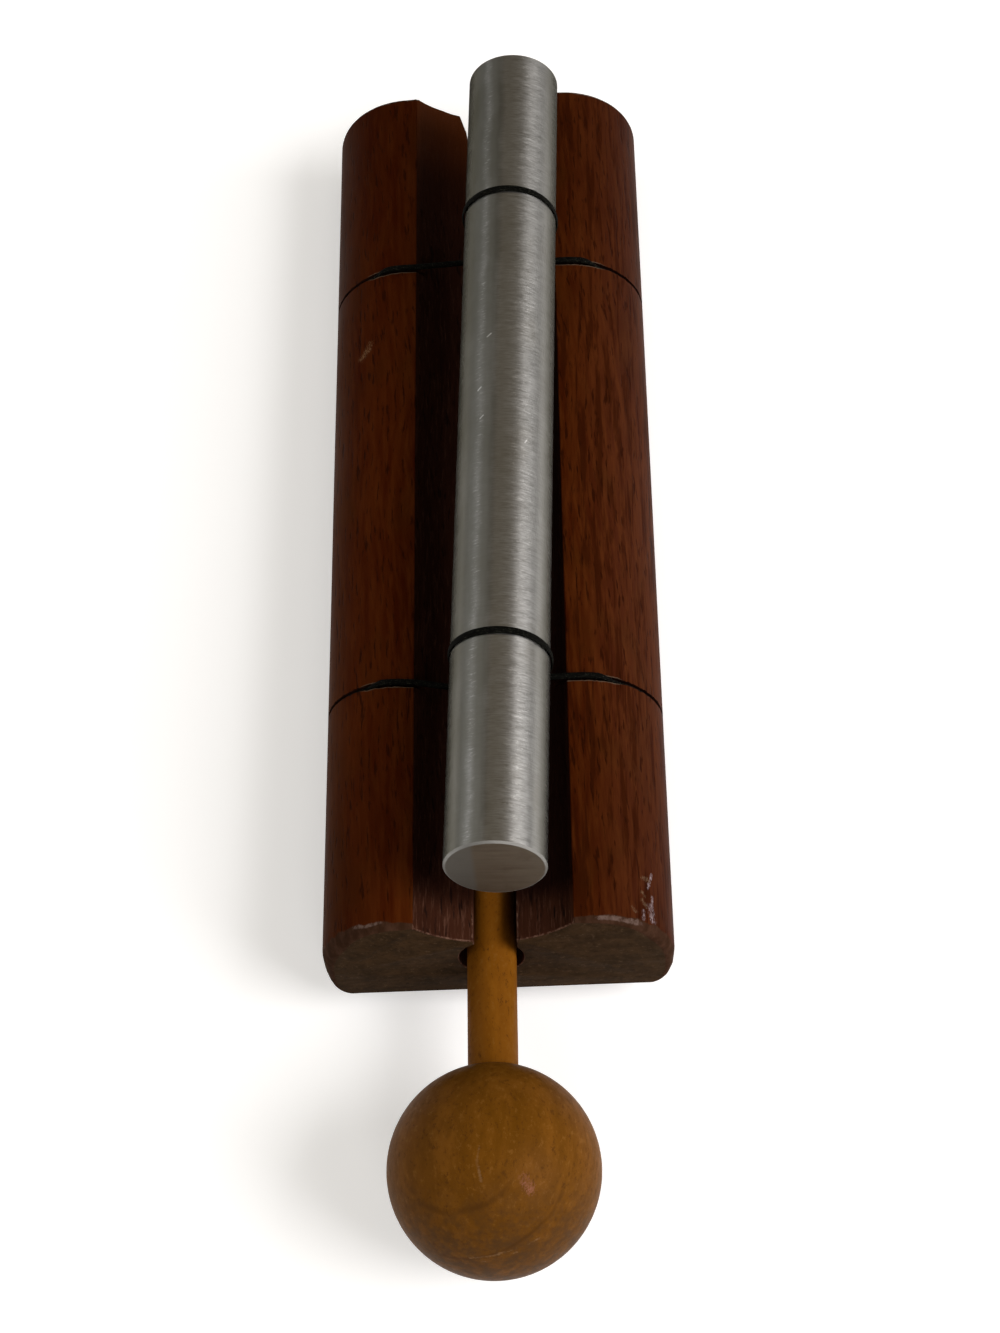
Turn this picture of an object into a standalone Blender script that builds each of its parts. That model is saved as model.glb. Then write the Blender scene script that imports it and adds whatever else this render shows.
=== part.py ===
"""A single chime bar slung on two elastic cords over a hardwood block, with its ball mallet.

Metres, +Z up. The front end, where the mallet goes in, faces -Y. The origin is the middle of
the block's flat underside.
"""
import math

import bmesh
import bpy
from mathutils import Vector

MM = 0.001

# Block: a plank with domed shoulders, milled along its whole length
BLOCK_LENGTH = 203.0 * MM
BLOCK_WIDTH = 64.8 * MM
BLOCK_HEIGHT = 25.7 * MM
SHOULDER_ROUND_HEIGHT = 16.0 * MM
FOOT_ROUND_WIDTH = 4.8 * MM
END_EASE = 1.0 * MM

# Hollow along the top, the slot in its floor and the mallet's bore under it
COVE_WIDTH = 28.7 * MM
COVE_DEPTH = 6.3 * MM
RIM_LAND = 2.2 * MM
SLOT_LIP = 0.7 * MM
BORE_PLAY = 2.8 * MM
BORE_DROP = 6.2 * MM
BORE_OFFSET_X = -1.05 * MM

# Saw kerfs that grip the cords, and the pockets for their knots in the underside
FRONT_KERF_INSET = 51.8 * MM
REAR_KERF_INSET = 48.7 * MM
KERF_WIDTH = 1.1 * MM
KERF_DEPTH = 2.2 * MM
POCKET_DIAMETER = 11.0 * MM
POCKET_DEPTH = 3.6 * MM

# Chime bar: solid round stock, hung slightly askew
BAR_DIAMETER = 18.6 * MM
BAR_LENGTH = 189.2 * MM
BAR_CHAMFER = 0.6 * MM
BAR_OFFSET_X = 4.1 * MM
BAR_OFFSET_Y = -1.5 * MM
BAR_YAW = math.radians(1.8)

# Elastic cords
CORD_DIAMETER = 1.2 * MM
CORD_CLEARANCE = 0.3 * MM
KERF_SIDE_CLEARANCE = 0.25 * MM
CORD_SINK = 0.9 * MM
SURFACE_RUN = 5.5 * MM
DIVE_RUN = 5.0 * MM
FRONT_LOOP_SHIFT = -2.3 * MM
REAR_LOOP_SHIFT = 1.0 * MM
LOOP_PITCH = 3.2 * MM
KNOT_DIAMETER = 2.6 * MM
CORD_POINT_STEP = 2.8 * MM

# Mallet: a turned ball on a dowel, lying in the bore
BALL_DIAMETER = 37.7 * MM
HANDLE_DIAMETER = 9.1 * MM
HANDLE_LENGTH = 148.0 * MM
HANDLE_END_ROUND = 1.2 * MM
HANDLE_CLEARANCE = 0.3 * MM
HANDLE_SOCKET_DEPTH = 18.0 * MM
BALL_STAND_OFF = 22.2 * MM

# Facets
ROUND_STEPS = 12
BORE_STEPS = 30
BAR_STEPS = 64
BALL_SEGMENTS = 56
BALL_RINGS = 28
POCKET_STEPS = 32
EASE_STEPS = 2
TIP_STEPS = 4
KNOT_STEPS = 6
TURN_STEPS = 72

# Worked-out places
SHOULDER_ROUND_WIDTH = BLOCK_WIDTH / 2 - COVE_WIDTH / 2 - RIM_LAND
WIDEST_HEIGHT = BLOCK_HEIGHT - SHOULDER_ROUND_HEIGHT
SLOT_WIDTH = HANDLE_DIAMETER - 2 * SLOT_LIP
BORE_DIAMETER = HANDLE_DIAMETER + BORE_PLAY
BORE_HEIGHT = BLOCK_HEIGHT - COVE_DEPTH - BORE_DROP
BAR_RADIUS = BAR_DIAMETER / 2
CORD_RADIUS = CORD_DIAMETER / 2
FRONT_FACE_Y = -BLOCK_LENGTH / 2
FRONT_KERF_Y = FRONT_FACE_Y + FRONT_KERF_INSET
REAR_KERF_Y = -FRONT_FACE_Y - REAR_KERF_INSET
COVE_RADIUS = ((COVE_WIDTH / 2) ** 2 + COVE_DEPTH ** 2) / (2 * COVE_DEPTH)
COVE_CENTER_Z = BLOCK_HEIGHT - COVE_DEPTH + COVE_RADIUS
CORD_PROUD = CORD_RADIUS + CORD_CLEARANCE
LOOP_RADIUS = BAR_RADIUS + CORD_CLEARANCE + CORD_RADIUS
BAR_HEIGHT = BLOCK_HEIGHT + CORD_PROUD + LOOP_RADIUS
HANDLE_RADIUS = HANDLE_DIAMETER / 2
HANDLE_HEIGHT = BORE_HEIGHT - BORE_DIAMETER / 2 + HANDLE_CLEARANCE + HANDLE_RADIUS
BALL_RADIUS = BALL_DIAMETER / 2
BALL_Y = FRONT_FACE_Y - BALL_STAND_OFF - BALL_RADIUS


def clear_scene():
    for old in list(bpy.data.objects):
        bpy.data.objects.remove(old, do_unlink=True)


def new_collection(name):
    collection = bpy.data.collections.new(name)
    bpy.context.scene.collection.children.link(collection)
    return collection


def new_material(name, color, roughness, metallic=0.0):
    material = bpy.data.materials.new(name)
    material.use_nodes = True
    shader = material.node_tree.nodes["Principled BSDF"]
    shader.inputs["Base Color"].default_value = (*color, 1.0)
    shader.inputs["Roughness"].default_value = roughness
    shader.inputs["Metallic"].default_value = metallic
    return material


def new_object(name, data, collection, material=None):
    obj = bpy.data.objects.new(name, data)
    collection.objects.link(obj)
    if material:
        data.materials.append(material)
    return obj


def as_cutter(obj):
    obj.display_type = "WIRE"
    obj.hide_render = True
    return obj


def cut(target, cutter):
    boolean = target.modifiers.new("cut_" + cutter.name, "BOOLEAN")
    boolean.operation = "DIFFERENCE"
    boolean.solver = "EXACT"
    boolean.object = cutter


def shade_round(mesh, sharp_degrees=35.0):
    mesh.shade_smooth()
    mesh.set_sharp_from_angle(angle=math.radians(sharp_degrees))


def arc(center_x, center_z, radius_x, radius_z, start_degrees, end_degrees, steps):
    """Points along an elliptical arc, both ends included."""
    points = []
    for step in range(steps + 1):
        angle = math.radians(start_degrees + (end_degrees - start_degrees) * step / steps)
        points.append((center_x + radius_x * math.cos(angle), center_z + radius_z * math.sin(angle)))
    return points


def mirrored(points):
    return [(-x, z) for x, z in reversed(points)]


def flank(inset=0.0):
    """The block's right-hand outside from its underside up to the start of its flat top."""
    edge = BLOCK_WIDTH / 2
    foot = arc(edge - FOOT_ROUND_WIDTH, WIDEST_HEIGHT, FOOT_ROUND_WIDTH - inset, WIDEST_HEIGHT - inset,
               -90, 0, ROUND_STEPS)
    dome = arc(edge - SHOULDER_ROUND_WIDTH, WIDEST_HEIGHT, SHOULDER_ROUND_WIDTH - inset,
               SHOULDER_ROUND_HEIGHT - inset, 0, 90, ROUND_STEPS)
    return foot + dome[1:]


def cove_half():
    """The hollow's right half, from its rim down to the edge of the slot."""
    rim_angle = math.degrees(math.asin(COVE_WIDTH / 2 / COVE_RADIUS))
    slot_angle = math.degrees(math.asin(SLOT_WIDTH / 2 / COVE_RADIUS))
    return arc(0, COVE_CENTER_Z, COVE_RADIUS, COVE_RADIUS,
               rim_angle - 90, slot_angle - 90, ROUND_STEPS)


def bore_arc():
    """The bore's wall, from the slot's right wall round underneath to its left wall."""
    radius = BORE_DIAMETER / 2
    right = math.degrees(math.acos((SLOT_WIDTH / 2 - BORE_OFFSET_X) / radius))
    left = math.degrees(math.acos((-SLOT_WIDTH / 2 - BORE_OFFSET_X) / radius))
    return arc(BORE_OFFSET_X, BORE_HEIGHT, radius, radius, right, left - 360, BORE_STEPS)


def block_outline():
    right = flank() + cove_half()
    return right + bore_arc() + mirrored(right)


def extruded_mesh(name, loops, thickness):
    """A flat outline in X and Z, holes included, drawn out along Y about the middle."""
    curve = bpy.data.curves.new(name, "CURVE")
    curve.dimensions = "2D"
    curve.fill_mode = "BOTH"
    curve.extrude = thickness / 2
    for loop in loops:
        spline = curve.splines.new("POLY")
        spline.points.add(len(loop) - 1)
        spline.use_cyclic_u = True
        for point, (x, z) in zip(spline.points, loop):
            point.co = (x, z, 0.0, 1.0)
    drawn = bpy.data.objects.new(name, curve)
    bpy.context.scene.collection.objects.link(drawn)
    drawn.rotation_euler.x = math.pi / 2
    mesh = mesh_of(drawn)
    bpy.data.objects.remove(drawn, do_unlink=True)
    return mesh


def mesh_of(drawn):
    """A curve object as a closed mesh in world space, with its loose caps welded on."""
    bpy.context.view_layer.update()
    depsgraph = bpy.context.evaluated_depsgraph_get()
    mesh = bpy.data.meshes.new_from_object(drawn.evaluated_get(depsgraph))
    mesh.transform(drawn.matrix_world)
    welded = bmesh.new()
    welded.from_mesh(mesh)
    bmesh.ops.remove_doubles(welded, verts=welded.verts, dist=1e-6)
    bmesh.ops.recalc_face_normals(welded, faces=welded.faces)
    welded.to_mesh(mesh)
    welded.free()
    return mesh


def mark_end_edges(mesh):
    """Join each end's triangles to one face and weight its outer rim for the eased edge."""
    ends = bmesh.new()
    ends.from_mesh(mesh)
    for side in (-1, 1):
        faces = [face for face in ends.faces if face.normal.y * side > 0.99]
        bmesh.ops.dissolve_faces(ends, faces=faces)
    weight = ends.edges.layers.float.new("bevel_weight_edge")
    bore_reach = BORE_DIAMETER / 2 + END_EASE / 10
    for edge in ends.edges:
        on_end = all(abs(abs(vert.co.y) - BLOCK_LENGTH / 2) < 1e-6 for vert in edge.verts)
        middle = (edge.verts[0].co + edge.verts[1].co) / 2
        in_slot = abs(middle.x) < SLOT_WIDTH / 2 + END_EASE / 10 and middle.z > BORE_HEIGHT
        from_bore = math.hypot(middle.x - BORE_OFFSET_X, middle.z - BORE_HEIGHT)
        if on_end and not in_slot and from_bore > bore_reach:
            edge[weight] = 1.0
    ends.to_mesh(mesh)
    ends.free()


def build_block(parts, cutters, wood):
    mesh = extruded_mesh("base_block", [block_outline()], BLOCK_LENGTH)
    mark_end_edges(mesh)
    shade_round(mesh)
    block = new_object("base_block", mesh, parts, wood)
    ease = block.modifiers.new("eased_ends", "BEVEL")
    ease.limit_method = "WEIGHT"
    ease.width = END_EASE
    ease.segments = EASE_STEPS
    for name, kerf_y in (("front", FRONT_KERF_Y), ("rear", REAR_KERF_Y)):
        cut(block, build_kerf_cutter(name + "_kerf", kerf_y, cutters))
        cut(block, build_pocket_cutter(name + "_pocket", kerf_y, cutters))
    return block


def build_kerf_cutter(name, kerf_y, cutters):
    """A thin frame round the block, whose inner edge is the kerf's floor."""
    reach_x = BLOCK_WIDTH / 2 + KERF_DEPTH
    reach_z = BLOCK_HEIGHT + KERF_DEPTH
    frame = [(-reach_x, -KERF_DEPTH), (reach_x, -KERF_DEPTH), (reach_x, reach_z), (-reach_x, reach_z)]
    floor = flank(KERF_DEPTH)
    mesh = extruded_mesh(name, [frame, floor + mirrored(floor)], KERF_WIDTH)
    cutter = as_cutter(new_object(name, mesh, cutters))
    cutter.location.y = kerf_y
    return cutter


def build_pocket_cutter(name, kerf_y, cutters):
    shape = bmesh.new()
    bmesh.ops.create_cone(shape, cap_ends=True, segments=POCKET_STEPS, radius1=POCKET_DIAMETER / 2,
                          radius2=POCKET_DIAMETER / 2, depth=2 * POCKET_DEPTH)
    mesh = bpy.data.meshes.new(name)
    shape.to_mesh(mesh)
    shape.free()
    cutter = as_cutter(new_object(name, mesh, cutters))
    cutter.location.y = kerf_y
    return cutter


def turned(name, profile, steps, parts, material):
    """A solid of revolution about its own Z axis, from a profile that runs down its outer side."""
    mesh = bpy.data.meshes.new(name)
    edges = [(index, index + 1) for index in range(len(profile) - 1)]
    mesh.from_pydata([(radius, 0.0, z) for radius, z in profile], edges, [])
    obj = new_object(name, mesh, parts, material)
    screw = obj.modifiers.new("turned", "SCREW")
    screw.steps = steps
    screw.render_steps = steps
    screw.use_merge_vertices = True
    screw.merge_threshold = 1e-5
    screw.use_smooth_shade = True
    return obj


def build_bar(parts, metal):
    half = BAR_LENGTH / 2
    shoulder = BAR_RADIUS - BAR_CHAMFER
    profile = [(0, half), (shoulder, half), (BAR_RADIUS, half - BAR_CHAMFER),
               (BAR_RADIUS, BAR_CHAMFER - half), (shoulder, -half), (0, -half)]
    bar = turned("chime_bar", profile, BAR_STEPS, parts, metal)
    bar.location = (BAR_OFFSET_X, BAR_OFFSET_Y, BAR_HEIGHT)
    bar.rotation_euler = (math.pi / 2, 0, -BAR_YAW)
    return bar


def bar_axis_x(y):
    return BAR_OFFSET_X + math.tan(BAR_YAW) * (y - BAR_OFFSET_Y)


def smooth_step(value):
    value = min(max(value, 0.0), 1.0)
    return value * value * (3 - 2 * value)


def even_points(points, step):
    """Points along a polyline of (place, radius), about one step apart, both ends kept."""
    lengths = [0.0]
    for (before, _), (after, _) in zip(points, points[1:]):
        lengths.append(lengths[-1] + (after - before).length)
    count = max(1, round(lengths[-1] / step))
    even = []
    index = 0
    for number in range(count + 1):
        target = lengths[-1] * number / count
        while index < len(points) - 2 and lengths[index + 1] < target:
            index += 1
        share = (target - lengths[index]) / max(lengths[index + 1] - lengths[index], 1e-9)
        (before, before_radius), (after, after_radius) = points[index], points[index + 1]
        even.append((before.lerp(after, share), before_radius + (after_radius - before_radius) * share))
    return even


def kerf_run(kerf_y):
    """The cord's right-hand stretch in the kerf, from the pocket's wall up to the rim.

    It is pinched in the kerf, and comes out onto the shoulder just before the rim.
    """
    surface = [(POCKET_DIAMETER / 2, 0.0)] + flank() + [(COVE_WIDTH / 2, BLOCK_HEIGHT)]
    even = even_points([(Vector((x, kerf_y, z)), 0.0) for x, z in surface], CORD_RADIUS)
    places = [place for place, _ in even]
    pinched = KERF_WIDTH / 2 - KERF_SIDE_CLEARANCE
    run = []
    for index, place in enumerate(places):
        ahead = places[min(index + 1, len(places) - 1)]
        behind = places[max(index - 1, 0)]
        along = (ahead - behind).normalized()
        outward = Vector((along.z, 0.0, -along.x))
        to_rim = (len(places) - 1 - index) * CORD_RADIUS
        dive = smooth_step((to_rim - SURFACE_RUN) / DIVE_RUN)
        pinch = smooth_step((to_rim - SURFACE_RUN) / (DIVE_RUN / 2))
        lift = CORD_PROUD - (CORD_PROUD + CORD_SINK) * dive
        run.append((place + outward * lift, CORD_RADIUS - (CORD_RADIUS - pinched) * pinch))
    return run


def knot(kerf_y):
    """The right-hand end's stopper knot, from its free end to where it bears on the pocket's wall."""
    radius = KNOT_DIAMETER / 2
    pinched = KERF_WIDTH / 2 - KERF_SIDE_CLEARANCE
    middle = POCKET_DIAMETER / 2 - CORD_CLEARANCE - radius
    lumps = []
    for station in range(KNOT_STEPS + 1):
        reach = 2 * station / KNOT_STEPS - 1
        swell = max(pinched, radius * math.sqrt(1 - reach * reach))
        lumps.append((Vector((middle + reach * radius, kerf_y, POCKET_DEPTH / 2)), swell))
    return lumps


def bar_turn(kerf_y, loop_y):
    """One turn round the bar, in under it from the left and out under it to the right."""
    turn = []
    for step in range(TURN_STEPS + 1):
        share = step / TURN_STEPS
        angle = 2 * math.pi * (share - 0.25)
        x = bar_axis_x(kerf_y) + LOOP_RADIUS * math.cos(angle)
        y = loop_y + LOOP_PITCH * (share - 0.5)
        turn.append((Vector((x, y, BAR_HEIGHT + LOOP_RADIUS * math.sin(angle))), CORD_RADIUS))
    return turn


def other_side(points):
    return [(Vector((-place.x, place.y, place.z)), radius) for place, radius in points]


def least_self_gap(points):
    """The least gap between stretches of one cord that lie more than a few diameters apart along it."""
    fine = even_points(points, CORD_RADIUS)
    apart = round(4 * CORD_DIAMETER / CORD_RADIUS)
    gaps = []
    for index, (place, radius) in enumerate(fine):
        for other, other_radius in fine[index + apart:]:
            gaps.append((place - other).length - radius - other_radius)
    return min(gaps)


def build_cord(name, kerf_y, loop_shift, parts, elastic):
    """One unbroken cord: knot, kerf, strand, a turn round the bar, strand, kerf, knot."""
    end = knot(kerf_y)
    run = kerf_run(kerf_y)
    middle = other_side(run) + bar_turn(kerf_y, kerf_y + loop_shift) + list(reversed(run))
    print(f"{name}: least gap to itself {least_self_gap(middle) / MM:.2f} mm")
    route = other_side(end) + even_points(middle, CORD_POINT_STEP) + list(reversed(end))
    curve = bpy.data.curves.new(name, "CURVE")
    curve.dimensions = "3D"
    curve.bevel_depth = CORD_RADIUS
    curve.bevel_resolution = 2
    curve.use_fill_caps = True
    spline = curve.splines.new("POLY")
    spline.points.add(len(route) - 1)
    for point, (place, radius) in zip(spline.points, route):
        point.co = (*place, 1.0)
        point.radius = radius / CORD_RADIUS
    return new_object(name, curve, parts, elastic)


def build_mallet(parts, cutters, dowel_wood, ball_wood):
    """The mallet's parts hang on an empty at the ball's middle, on the axis that it slides along."""
    carrier = new_object("mallet", None, parts)
    carrier.location = (BORE_OFFSET_X, BALL_Y, HANDLE_HEIGHT)
    socket_floor = BALL_RADIUS - HANDLE_SOCKET_DEPTH
    start = socket_floor + HANDLE_CLEARANCE
    finish = start + HANDLE_LENGTH
    inner = HANDLE_RADIUS - HANDLE_END_ROUND
    tip = arc(inner, finish - HANDLE_END_ROUND, HANDLE_END_ROUND, HANDLE_END_ROUND, 90, 0, TIP_STEPS)
    handle = turned("mallet_handle", [(0, finish)] + tip + [(HANDLE_RADIUS, start), (0, start)],
                    BORE_STEPS, parts, dowel_wood)
    handle.parent = carrier
    handle.rotation_euler.x = -math.pi / 2
    build_head(carrier, socket_floor, parts, cutters, ball_wood)


def build_head(carrier, socket_floor, parts, cutters, ball_wood):
    ball = bmesh.new()
    bmesh.ops.create_uvsphere(ball, u_segments=BALL_SEGMENTS, v_segments=BALL_RINGS, radius=BALL_RADIUS)
    mesh = bpy.data.meshes.new("mallet_head")
    ball.to_mesh(mesh)
    ball.free()
    shade_round(mesh)
    head = new_object("mallet_head", mesh, parts, ball_wood)
    head.parent = carrier
    head.rotation_euler.x = -math.pi / 2
    socket = bmesh.new()
    radius = HANDLE_RADIUS + HANDLE_CLEARANCE
    bmesh.ops.create_cone(socket, cap_ends=True, segments=BORE_STEPS, radius1=radius, radius2=radius,
                          depth=2 * HANDLE_SOCKET_DEPTH)
    bmesh.ops.translate(socket, verts=socket.verts, vec=(0, 0, socket_floor + HANDLE_SOCKET_DEPTH))
    socket_mesh = bpy.data.meshes.new("mallet_socket")
    socket.to_mesh(socket_mesh)
    socket.free()
    cutter = as_cutter(new_object("mallet_socket", socket_mesh, cutters))
    cutter.parent = carrier
    cutter.rotation_euler.x = -math.pi / 2
    cut(head, cutter)


def main():
    clear_scene()
    parts = new_collection("chime_bar_on_block")
    cutters = new_collection("cutters")
    build_block(parts, cutters, new_material("block_wood", (0.115, 0.034, 0.018), 0.42))
    build_bar(parts, new_material("bar_aluminium", (0.60, 0.60, 0.57), 0.36, 1.0))
    elastic = new_material("black_elastic", (0.012, 0.012, 0.012), 0.8)
    build_cord("front_cord", FRONT_KERF_Y, FRONT_LOOP_SHIFT, parts, elastic)
    build_cord("rear_cord", REAR_KERF_Y, REAR_LOOP_SHIFT, parts, elastic)
    build_mallet(parts, cutters, new_material("handle_wood", (0.36, 0.17, 0.045), 0.5),
                 new_material("ball_wood", (0.34, 0.155, 0.04), 0.45))


main()
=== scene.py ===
"""Looks of a chime bar on its hardwood block: finishes, cords, wear, floor, light and camera."""
import math

import bmesh
import bpy
import numpy as np
from mathutils import Euler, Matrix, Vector, noise


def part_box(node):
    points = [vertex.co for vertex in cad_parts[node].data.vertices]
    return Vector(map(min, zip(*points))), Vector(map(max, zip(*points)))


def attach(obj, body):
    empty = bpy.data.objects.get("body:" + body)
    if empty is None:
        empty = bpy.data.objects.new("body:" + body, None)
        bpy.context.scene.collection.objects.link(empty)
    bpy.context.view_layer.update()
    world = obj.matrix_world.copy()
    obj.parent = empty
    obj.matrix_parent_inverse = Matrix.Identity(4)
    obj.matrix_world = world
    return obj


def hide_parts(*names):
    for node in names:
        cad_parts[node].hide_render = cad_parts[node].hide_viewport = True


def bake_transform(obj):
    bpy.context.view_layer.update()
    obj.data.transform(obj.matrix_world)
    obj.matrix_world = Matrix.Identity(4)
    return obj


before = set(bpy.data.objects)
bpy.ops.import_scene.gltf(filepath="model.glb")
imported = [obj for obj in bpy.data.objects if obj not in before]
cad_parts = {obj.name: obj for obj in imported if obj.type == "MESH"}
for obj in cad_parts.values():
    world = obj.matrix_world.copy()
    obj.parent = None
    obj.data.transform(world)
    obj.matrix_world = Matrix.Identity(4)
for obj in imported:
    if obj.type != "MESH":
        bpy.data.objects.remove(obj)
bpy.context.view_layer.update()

MM = 0.001
MESH_WELD = 1e-7
SHARP_ANGLE = math.radians(40)

# How strongly the finishes mirror
DULL_SHINE = 0.03
VARNISH_SHINE = 0.006
METAL_SHINE = 0.5


def mm(*sizes):
    """Sizes in millimetres as a tuple in metres."""
    return tuple(size * MM for size in sizes)


# Sizes read from the frame
block_low, block_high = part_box("base_block")
bar_low, bar_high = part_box("chime_bar")
handle_low, handle_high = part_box("mallet_handle")
ball_low, ball_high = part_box("mallet_head")
HALF_LENGTH = block_high.y
HALF_WIDTH = block_high.x
BLOCK_TOP = block_high.z
BAR_RADIUS = (bar_high.z - bar_low.z) / 2
BAR_MIDDLE = (bar_low + bar_high) / 2
HANDLE_RADIUS = (handle_high.z - handle_low.z) / 2
BALL_RADIUS = (ball_high.x - ball_low.x) / 2
BALL_MIDDLE = (ball_low + ball_high) / 2
BALL_MIDDLE.y = ball_low.y + BALL_RADIUS

# Block section, as in the construction
SHOULDER_ROUND_HEIGHT = 16.0 * MM
FOOT_ROUND_WIDTH = 4.8 * MM
COVE_HALF = 14.35 * MM
COVE_DEPTH = 6.3 * MM
RIM_LAND = 2.2 * MM
SLOT_HALF = 3.85 * MM
BORE_RADIUS = 5.95 * MM
BORE_HEIGHT = 13.2 * MM
BORE_X = -1.05 * MM
KERF_YS = {"front": -49.7 * MM, "rear": 52.8 * MM}
KERF_WIDTH = 1.1 * MM
KERF_DEPTH = 2.2 * MM
POCKET_DIAMETER = 11.0 * MM
POCKET_DEPTH = 3.6 * MM
SHOULDER_ROUND_WIDTH = HALF_WIDTH - COVE_HALF - RIM_LAND
WIDEST_HEIGHT = BLOCK_TOP - SHOULDER_ROUND_HEIGHT
COVE_RADIUS = (COVE_HALF ** 2 + COVE_DEPTH ** 2) / (2 * COVE_DEPTH)
COVE_CENTER_Z = BLOCK_TOP - COVE_DEPTH + COVE_RADIUS

# Mesh of the block: steps of its round stretches (foot and dome as a pair), and rows along it
BLOCK_STEPS = (12, 64)
RIM_STEPS = 4
COVE_STEPS = 22
LIP_STEPS = 3
BORE_STEPS = 44
POCKET_SEGMENTS = 48
END_ROWS = mm(0.0, 0.08, 0.2, 0.35, 0.55, 0.8, 1.1, 1.5, 2.0, 2.7, 3.6, 5.0)
ROW_SPACING = 4.0 * MM
END_STRETCH = 8.0 * MM
KERF_STRETCH = 3.5 * MM
KERF_WALL_LEAN = 0.001 * MM
PAST_WEAR = 1.0

# Wear of the block, at its ends as how far back it reaches and how deep it cuts
RIM_ROUND = 0.35 * MM
RIM_INSET = 0.3 * MM
LIP_ROUND = 0.3 * MM
BARE_WEAR = mm(0.4, 0.2)
FOOT_WEAR = mm(1.2, 1.0)
REAR_WEAR = mm(1.0, 0.5)
CROWN_WEAR = mm(1.7, 0.55)
CORNER_WEAR = {"left": mm(3.8, 2.2), "right": mm(2.8, 1.8)}
CORNER_X = 29.0 * MM
CREST_RUN = 2.5 * MM
WEAR_LUMPS = 2.2 * MM
WEAR_UNEVEN = 0.25
FLARE_LENGTH = 6.0 * MM
FLARE_WIDTH = 1.7 * MM
WOOD_SWAY = 0.03 * MM
SWAY_ACROSS = 60
SWAY_ALONG = 25

# Kerf edges
CHIP_WIDTH = 0.5 * MM
KERF_STRAY = {"front": 0.085, "rear": 0.0}
KERF_RAGGED = 0.32 * MM
RAGGED_PER_METRE = 1100
THICK_CORD_X = 23.0 * MM
KERF_CLOSING = 0.2 * MM
CLOSING_RUN = 3.0 * MM

# Rod
BAR_YAW = math.radians(1.8)
BAR_CHAMFER = 0.38 * MM
BAR_SEGMENTS = 128
BAR_ROWS = 60

# Cords, as in the construction, but with turns pressed flat and the rear one further back
CORD_RADIUS = 0.6 * MM
CORD_GAP = 0.12 * MM
PINCHED_RADIUS = 0.4 * MM
CORD_SINK = 0.8 * MM
SURFACE_RUN = 5.5 * MM
DIVE_RUN = 5.0 * MM
LOOP_SHIFTS = {"front": -2.2 * MM, "rear": 2.4 * MM}
LOOP_PITCH = 3.2 * MM
CORD_STEPS = (16, 32)
TURN_STEPS = 144
TURN_PRESS = 0.62
TURN_SPREAD = 0.28
TURN_FREE_BELOW = -0.95
TURN_GRIP_RUN = 0.5
KNOT_RADIUS = 1.3 * MM
KNOT_TAIL = 2.4 * KNOT_RADIUS
CORD_STEP = 0.18 * MM
CORD_SIDES = 20
BRAID_STRANDS = 5
BRAID_PITCH = 0.75 * MM
BRAID_HEIGHT = 0.045 * MM

# Mallet
SOCKET_DEPTH = 18.0 * MM
SOCKET_GAP = 0.15 * MM
SOCKET_MOUTH = 0.25 * MM
MALLET_SEGMENTS = 96
HANDLE_ROWS = 50
BALL_ROWS = 70
TIP_ROUND = 1.2 * MM
TIP_STEPS = 6

# Camera: places in metres, focal length in pixels of a picture 1000 wide
CAMERA_PLACE = (0.0257, -0.33969, 0.47722)
CAMERA_TURN = (math.radians(32.921), math.radians(3.454), math.radians(-0.675))
CAMERA_FOCAL = 2852.5
PICTURE_WIDTH = 1000
SENSOR_WIDTH = 36
NEAR_CLIP = 0.01

# Floor: how much white is added where it is seen or mirrored, and half its side
FLOOR_LIFT = 0.36
FLOOR_HALF = 6.0

# Lamps as name, place, side of the square, power in watts and tint
LAMPS = (
    ("window_right", (2.6, -1.1, 2.0), 2.2, 125.0, (1.0, 0.98, 0.985)),
    ("window_left", (-2.7, 0.4, 2.05), 3.4, 34.0, (0.97, 0.985, 1.0)),
    ("window_front", (0.2, -2.6, 2.1), 1.5, 20.0, (1.0, 0.99, 0.98)),
)


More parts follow.
